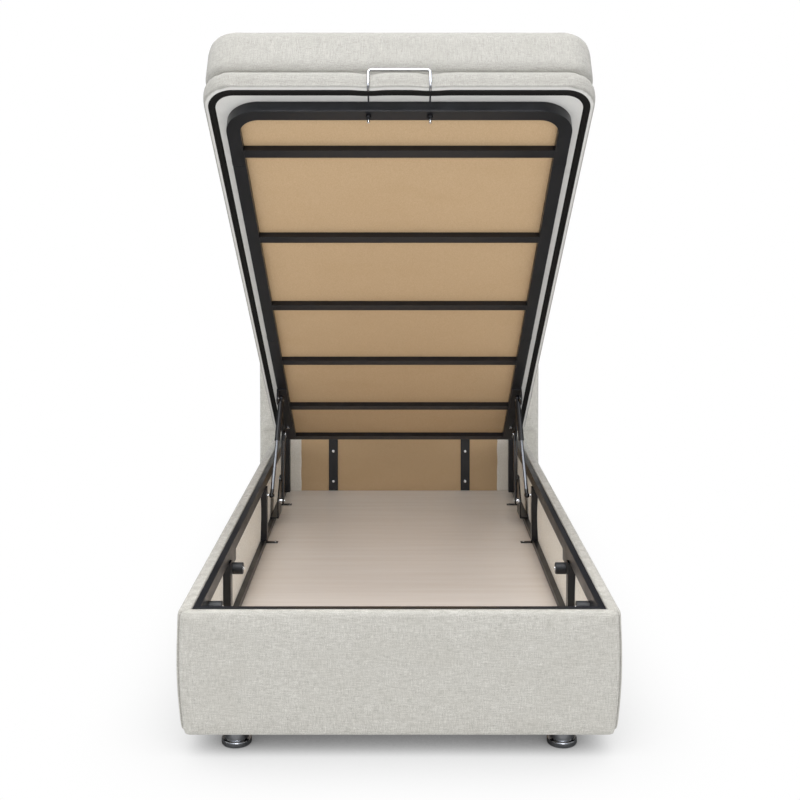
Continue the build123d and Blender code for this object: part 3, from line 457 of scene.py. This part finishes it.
def reshape(piece, move):
    """Move each point of a piece by a rule."""
    for vertex in piece.data.vertices:
        vertex.co += move(vertex.co)


def share_between(value, low, high):
    """How far a value is from low to high, from 0 to 1."""
    return min(max((value - low) / (high - low), 0.0), 1.0)


def smooth_share(value, low, high):
    """The same, eased at both ends."""
    share = share_between(value, low, high)
    return share * share * (3 - 2 * share)


def swell_share(value, low, high):
    """0 at low and at high and 1 halfway, as a stuffed edge swells."""
    return sin(pi * share_between(value, low, high))


def side_of(co):
    """1 on the right of the bed and -1 on the left."""
    return 1 if co.x > 0 else -1


# Mattress, made level and then tilted with the lid
def hoop_pull(x):
    """0 where a leg of the hoop presses on the mattress, rising to 1 away from it."""
    return smooth_share(abs(abs(x) - HOOP_HALF), 0.004, 0.045)


def foot_swell(co):
    """Swell the foot end of the lower layer outwards, except at the legs of the hoop."""
    near_foot = smooth_share(-co.y, -MATTRESS_FOOT - 0.06, -MATTRESS_FOOT - 0.01)
    height = swell_share(co.z, MATTRESS_UNDER, MATTRESS_SEAM)
    bulge = FOOT_BULGE * (LEAST_BULGE + (1 - LEAST_BULGE) * height)
    return Vector((0, -bulge * near_foot * hoop_pull(co.x), 0))


def side_swell(co):
    """Swell the long sides of the lower layer out past the tape."""
    near_side = smooth_share(abs(co.x), MATTRESS_HALF - 0.030, MATTRESS_HALF - 0.002)
    height = swell_share(co.z, MATTRESS_UNDER, MATTRESS_SEAM)
    return Vector((SIDE_BULGE * near_side * height * side_of(co), 0, 0))


def mattress_layer(name, low, high, inset, top, bottom, cell):
    """One layer of the mattress between two heights."""
    start = (-MATTRESS_HALF + inset, MATTRESS_FOOT + inset, low)
    end = (MATTRESS_HALF - inset, MATTRESS_HEAD - inset, high)
    piece = piece_from(slab(start, end, PLAN_CORNER, top, bottom), name, "mattress_fabric")
    stuff(piece, cell, cap=0.006, held=lambda co: co.z < low + 0.3 * bottom)
    fit_to(piece, start, end)
    return piece


def tilt_with_lid(piece, node):
    """Turn a piece made in the lid's frame into place, and let it stand for its node."""
    piece.data.transform(TO_LID)
    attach(piece, "lid")
    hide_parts(node)


upper_layer = mattress_layer(
    "mattress_upper", MATTRESS_SEAM - LAYER_LAP, MATTRESS_TOP, inset=0.0, top=0.034, bottom=0.016, cell=0.014
)
lower_layer = mattress_layer(
    "mattress_lower", MATTRESS_UNDER + LAYER_LAP, MATTRESS_SEAM + LAYER_LAP,
    inset=0.001, top=0.012, bottom=0.014, cell=0.011,
)
reshape(lower_layer, lambda co: foot_swell(co) + side_swell(co))
tilt_with_lid(upper_layer, "mattress_upper_layer")
tilt_with_lid(lower_layer, "mattress_lower_layer")


def tape_ring():
    """The black tape round the lower edge of the mattress: a flat ring with two ridges."""
    low = (-MATTRESS_HALF + TAPE_INSET, MATTRESS_FOOT + TAPE_INSET, MATTRESS_UNDER - TAPE_PROUD)
    high = (MATTRESS_HALF - TAPE_INSET, MATTRESS_HEAD - TAPE_INSET, MATTRESS_UNDER + TAPE_TALL)
    bm = box_mesh(low, high)
    round_edges(bm, edges_along(bm, 2, low[2], high[2]), PLAN_CORNER - TAPE_INSET, segments=14)
    under = min(bm.faces, key=lambda f: f.calc_center_median().z)
    over = max(bm.faces, key=lambda f: f.calc_center_median().z)
    bmesh.ops.delete(bm, geom=[over], context="FACES_ONLY")
    for wide, rise in TAPE_STEPS:
        bmesh.ops.inset_region(bm, faces=[under], thickness=wide, depth=0.0, use_even_offset=True)
        bmesh.ops.translate(bm, verts=under.verts, vec=(0, 0, rise))
    bmesh.ops.delete(bm, geom=[under], context="FACES_ONLY")
    long_edges = [e for e in bm.edges if e.calc_length() > 0.1]
    bmesh.ops.subdivide_edges(bm, edges=long_edges, cuts=90, use_grid_fill=True)
    return bm


tape = piece_from(tape_ring(), "mattress_tape", "binding_tape")
reshape(tape, foot_swell)
thick = tape.modifiers.new("thickness", "SOLIDIFY")
thick.thickness = TAPE_THICK
thick.offset = -1.0
soft = tape.modifiers.new("softer", "SUBSURF")
soft.levels = soft.render_levels = 1
tilt_with_lid(tape, "mattress_binding")


# Padded boards of the base and the headboard
def board_draw(z):
    """How far the face of a padded board stands in from its crest at a height."""
    if z < BOARD_CREST:
        return DRAW_BOTTOM * ((BOARD_CREST - z) / (BOARD_CREST - foot_low.z)) ** 2
    return DRAW_TOP * ((z - BOARD_CREST) / (foot_high.z - BOARD_CREST)) ** 2


def stand_for_board(piece, node):
    """Let a padded piece ride on the base and stand for its board."""
    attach(piece, "base")
    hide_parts(node)


def draw_in_ends(co):
    """Draw in the ends of the footboard above and below its crest."""
    near_end = smooth_share(abs(co.x), foot_high.x - 0.08, foot_high.x)
    return Vector((-board_draw(co.z) * near_end * side_of(co), 0, 0))


def padded_footboard():
    """The upholstered footboard, crowned at its front."""
    bm = box_mesh(foot_low, foot_high)
    round_edges(bm, edges_along(bm, 1, foot_low.y, foot_high.y), radius=0.012, segments=6)
    round_edges(bm, level_edges(bm, 1, foot_low.y), radius=0.007, segments=4)
    piece = piece_from(bm, "padded_footboard", "grey_linen")
    stuff(piece, cell=0.0055, cap=0.0016, held=lambda co: co.y > foot_high.y - 0.006)
    fit_to(piece, foot_low, foot_high)
    reshape(piece, draw_in_ends)
    stand_for_board(piece, "footboard")


def padded_side_board(node, name, side):
    """One side board, bowed outwards, with rounded outer edges."""
    low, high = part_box(node)
    outer, inner = (low.x, high.x) if side < 0 else (high.x, low.x)
    bm = box_mesh(low, high)
    lines = [e for e in level_edges(bm, 0, outer) if abs(e.verts[0].co.y - e.verts[1].co.y) > 0.1]
    round_edges(bm, lines, radius=0.010, segments=5)
    front = [e for e in level_edges(bm, 1, low.y) if any(abs(v.co.x - outer) < 0.02 for v in e.verts)]
    outline = [e for e in front if not all(abs(v.co.z - low.z) < NEAR for v in e.verts)]
    round_edges(bm, outline, radius=0.009, segments=4)
    piece = piece_from(bm, name, "grey_linen")
    stuff(piece, cell=0.0075, cap=0.0014, held=lambda co: abs(co.x - inner) < 0.005)
    fit_to(piece, low, high)

    def bow(co):
        """Draw the outer face in above and below its crest."""
        from_inner = smooth_share(abs(co.x - inner), 0.0, 0.03)
        return Vector((-side * board_draw(co.z) * from_inner, 0, 0))

    reshape(piece, bow)
    stand_for_board(piece, node)


def corner_stitches():
    """The visible row of thread beside each front corner."""
    bm = bmesh.new()
    rows = int((foot_high.z - foot_low.z - STITCH_START - STITCH_END) / STITCH_PITCH)
    for side in (-1, 1):
        for row in range(rows):
            z = foot_low.z + STITCH_START + STITCH_PITCH * row
            x = side * (foot_high.x + STITCH_BESIDE - board_draw(z))
            place = Matrix.Translation((x, foot_high.y - STITCH_BEHIND, z))
            shape = place @ Matrix.Diagonal((*STITCH_SIZE, 1.0))
            bmesh.ops.create_uvsphere(bm, u_segments=6, v_segments=4, radius=1.0, matrix=shape)
    stitches = piece_from(bm, "corner_stitches", "grey_linen")
    dress(stitches, "seam_thread")
    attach(stitches, "base")


def padded_headboard():
    """The upholstered headboard."""
    low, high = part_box("headboard")
    bm = box_mesh(low, high)
    tops = [e for e in edges_along(bm, 1, low.y, high.y) if e.verts[0].co.z > 0.5]
    round_edges(bm, tops, radius=0.045, segments=8)
    round_edges(bm, level_edges(bm, 1, high.y), radius=0.018, segments=5)
    front = [e for e in level_edges(bm, 1, low.y) if max(v.co.z for v in e.verts) > 0.4]
    round_edges(bm, front, radius=0.012, segments=4)
    piece = piece_from(bm, "padded_headboard", "grey_linen")

    def held(co):
        """The lower edge, and the part of the face that stands against the head end board."""
        return co.z < low.z + 0.01 or (co.y < low.y + 0.004 and co.z < 0.32)

    stuff(piece, cell=0.010, cap=0.006, held=held)
    fit_to(piece, low, high)
    stand_for_board(piece, "headboard")


padded_footboard()
padded_side_board("side_board_left", "padded_side_left", -1)
padded_side_board("side_board_right", "padded_side_right", 1)
corner_stitches()
padded_headboard()


# Lining and turned-over cover, thin cloth held on the boards
def cloth_panel(name, low, high, cells, ripple, thick_mm):
    """An upright panel of thin cloth between two corners, with a rule for its ripples."""
    bm = bmesh.new()
    size = Vector(high) - Vector(low)
    flat_axis = min(range(2), key=lambda k: size[k])
    run = 1 - flat_axis
    bmesh.ops.create_grid(bm, x_segments=cells[0], y_segments=cells[1], size=0.5)
    for vertex in bm.verts:
        place = Vector(low)
        place[run] += (vertex.co.x + 0.5) * size[run]
        place.z += (vertex.co.y + 0.5) * size.z
        place[flat_axis] += size[flat_axis] / 2
        vertex.co = place
    piece = piece_from(bm, name, "lining_cloth")
    reshape(piece, ripple)
    solid = piece.modifiers.new("thickness", "SOLIDIFY")
    solid.thickness = thick_mm * MM
    solid.offset = 0.0
    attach(piece, "base")
    return piece


lining_low, lining_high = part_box("side_linings")
wrap_low, wrap_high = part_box("head_wrap_strips")
lower_rail_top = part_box("lower_rail_left")[1].z
top_rail_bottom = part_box("top_rail_left")[0].z


def lining_ripple(side):
    """Slack between the rails: the cloth stands off the board in soft upright waves."""
    def move(co):
        between = swell_share(co.z, lower_rail_top, top_rail_bottom)
        broad = noise.noise(Vector((co.y * 9.0, co.z * 4.0, 3.0 * side)))
        narrow = noise.noise(Vector((co.y * 25.0, co.z * 9.0, 7.0 * side)))
        return Vector((-side * between * (LINING_SLACK + LINING_WAVE * (broad + 0.5 * narrow)), 0, 0))
    return move


def wrap_ripple(side):
    """A slightly raised, uneven inner edge."""
    def move(co):
        wide = wrap_high.x - WRAP_INNER
        lift = smooth_share(wrap_high.x - abs(co.x), 0.7 * wide, wide)
        wave = noise.noise(Vector((co.z * 22.0, side * 5.0, 1.0)))
        return Vector((side * WRAP_WAVE * wave * lift, -WRAP_LIFT * lift, 0))
    return move


for side_name, side in (("left", -1), ("right", 1)):
    inner, outer = sorted((side * (lining_high.x - LINING_THICK), side * lining_high.x))
    lining = cloth_panel(
        f"side_lining_{side_name}", (inner, lining_low.y, lining_low.z),
        (outer, lining_high.y, lining_high.z), cells=(240, 36), ripple=lining_ripple(side), thick_mm=0.5,
    )
    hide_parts("side_linings")

for side_name, side in (("left", -1), ("right", 1)):
    start, end = sorted((side * WRAP_INNER, side * wrap_high.x))
    wrap = cloth_panel(
        f"head_wrap_{side_name}", (start, wrap_low.y, wrap_low.z), (end, wrap_high.y, wrap_high.z),
        cells=(14, 48), ripple=wrap_ripple(side), thick_mm=0.9,
    )
    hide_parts("head_wrap_strips")


# Stage: pale floor, white surroundings, soft light
WHITE = (1, 1, 1, 1)
AMBIENT = 0.62
FLOOR_SIZE = 60.0
FLOOR_GLOW = 0.12
# The painted shadow on the floor, from ambient occlusion: how far it reaches, how dark it gets and how it
# falls off
PAINTED_SHADOW_REACH = 0.30
PAINTED_SHADOW_DEPTH = 0.97
PAINTED_SHADOW_FALL = 2.1


def make_world():
    """White to the eye; in reflections a studio that is bright overhead and in front and dim elsewhere; else
    a soft even light on the object."""
    world = bpy.data.worlds.new("studio")
    bpy.context.scene.world = world
    world.use_nodes = True
    tree = world.node_tree
    tree.nodes.clear()
    path = add_node(tree, "ShaderNodeLightPath")
    place = add_node(tree, "ShaderNodeTexCoord").outputs["Generated"]
    way = add_node(tree, "ShaderNodeSeparateXYZ", {0: place})
    upwards = {"Value": way.outputs[2], "From Min": 0.45, "From Max": 0.9, "To Min": 0.05, "To Max": 2.2}
    forwards = {"Value": way.outputs[1], "From Min": -0.6, "From Max": -0.98, "To Min": 0.0, "To Max": 1.5}
    overhead = add_node(tree, "ShaderNodeMapRange", upwards).outputs[0]
    in_front = add_node(tree, "ShaderNodeMapRange", forwards).outputs[0]
    bright = add_node(tree, "ShaderNodeMath", {0: overhead, 1: in_front}, operation="ADD").outputs[0]
    lit = add_node(tree, "ShaderNodeBackground", {"Color": linear("#F4F6FA"), "Strength": AMBIENT})
    mirrored = add_node(tree, "ShaderNodeBackground", {"Color": linear("#EEF2FA"), "Strength": bright})
    white = add_node(tree, "ShaderNodeBackground", {"Color": WHITE, "Strength": 1.0})
    glossy = {0: path.outputs["Is Glossy Ray"], 1: lit.outputs[0], 2: mirrored.outputs[0]}
    unseen = add_node(tree, "ShaderNodeMixShader", glossy)
    direct = {0: path.outputs["Is Camera Ray"], 1: unseen.outputs[0], 2: white.outputs[0]}
    both = add_node(tree, "ShaderNodeMixShader", direct)
    add_node(tree, "ShaderNodeOutputWorld", {"Surface": both.outputs[0]})


def floor_finish():
    """To the eye pure white with a painted soft shadow, taken from ambient occlusion, where the bed stands
    close over it, to the light a pale floor that sends a little light back up, and dim in reflections."""
    material = bpy.data.materials.new("pale_studio_floor")
    material.use_nodes = True
    tree = material.node_tree
    tree.nodes.clear()
    path = add_node(tree, "ShaderNodeLightPath")
    plain = add_node(tree, "ShaderNodeBsdfDiffuse", {"Color": linear("#CFCFCF")})
    glow = add_node(tree, "ShaderNodeEmission", {"Color": WHITE, "Strength": FLOOR_GLOW})
    lit = add_node(tree, "ShaderNodeAddShader", {0: plain.outputs[0], 1: glow.outputs[0]})
    # Painted shadow: the white that the camera sees is darkened where ambient occlusion finds the bed close
    # above.
    above = add_node(tree, "ShaderNodeAmbientOcclusion", {"Distance": PAINTED_SHADOW_REACH}, samples=24)
    opened = {0: 1.0, 1: above.outputs["AO"]}
    closed = add_node(tree, "ShaderNodeMath", opened, operation="SUBTRACT").outputs[0]
    depth = add_node(tree, "ShaderNodeMath", {0: closed, 1: PAINTED_SHADOW_FALL}, operation="POWER").outputs[0]
    darker = {0: depth, 1: -PAINTED_SHADOW_DEPTH, 2: 1.0}
    white = add_node(tree, "ShaderNodeMath", darker, operation="MULTIPLY_ADD").outputs[0]
    white_with_painted_shadow = add_node(tree, "ShaderNodeEmission", {"Color": WHITE, "Strength": white})
    dim = add_node(tree, "ShaderNodeBsdfDiffuse", {"Color": linear("#8A8A8A")})
    glossy = {0: path.outputs["Is Glossy Ray"], 1: lit.outputs[0], 2: dim.outputs[0]}
    unseen = add_node(tree, "ShaderNodeMixShader", glossy)
    direct = {0: path.outputs["Is Camera Ray"], 1: unseen.outputs[0], 2: white_with_painted_shadow.outputs[0]}
    both = add_node(tree, "ShaderNodeMixShader", direct)
    add_node(tree, "ShaderNodeOutputMaterial", {"Surface": both.outputs[0]})
    return material


def make_floor():
    """A wide floor, a hair below the feet."""
    bm = bmesh.new()
    bmesh.ops.create_grid(bm, x_segments=1, y_segments=1, size=FLOOR_SIZE)
    mesh = bpy.data.meshes.new("floor")
    bm.to_mesh(mesh)
    bm.free()
    mesh.materials.append(floor_finish())
    floor = bpy.data.objects.new("floor", mesh)
    floor.location.z = -0.3 * MM
    bpy.context.scene.collection.objects.link(floor)


def soft_lamp(name, place, target, size, power):
    """A large soft lamp aimed at a point."""
    lamp = bpy.data.lights.new(name, "AREA")
    lamp.shape = "RECTANGLE"
    lamp.size, lamp.size_y = size
    lamp.energy = power
    holder = bpy.data.objects.new(name, lamp)
    holder.location = place
    holder.rotation_euler = (Vector(target) - Vector(place)).to_track_quat("-Z", "Y").to_euler()
    bpy.context.scene.collection.objects.link(holder)


make_world()
make_floor()
soft_lamp("high_front_lamp", place=(-0.7, -4.0, 4.3), target=(0, -0.3, 0.5), size=(3.6, 2.4), power=58.0)
soft_lamp("low_front_lamp", place=(0.5, -8.5, 1.2), target=(0, 0, 0.7), size=(3.2, 1.2), power=78.0)
soft_lamp("top_lamp", place=(0.0, -1.6, 4.8), target=(0, -0.8, 0.0), size=(3.0, 1.6), power=120.0)
soft_lamp("left_lamp", place=(-3.4, -1.8, 2.2), target=(0, 0.2, 0.6), size=(2.4, 2.4), power=29.0)
soft_lamp("right_lamp", place=(3.4, -1.8, 2.2), target=(0, 0.2, 0.6), size=(2.4, 2.4), power=29.0)

# Camera of the photograph: close to the foot end, a little above the headboard, almost level
CAMERA_PLACE = (0.0, -3.4508, 1.1490)
CAMERA_DOWN = radians(1.5)
CAMERA_LENS = 52.57
CAMERA_SENSOR = 36.0
CAMERA_SHIFT = (0.0009, -0.1972)


def make_camera():
    """The photograph's viewpoint."""
    camera = bpy.data.cameras.new("photo_camera")
    camera.sensor_width = CAMERA_SENSOR
    camera.lens = CAMERA_LENS
    camera.shift_x, camera.shift_y = CAMERA_SHIFT
    holder = bpy.data.objects.new("photo_camera", camera)
    holder.location = CAMERA_PLACE
    holder.rotation_euler = (pi / 2 - CAMERA_DOWN, 0, 0)
    bpy.context.scene.collection.objects.link(holder)
    bpy.context.scene.camera = holder


make_camera()
bpy.context.scene.view_settings.view_transform = "Standard"
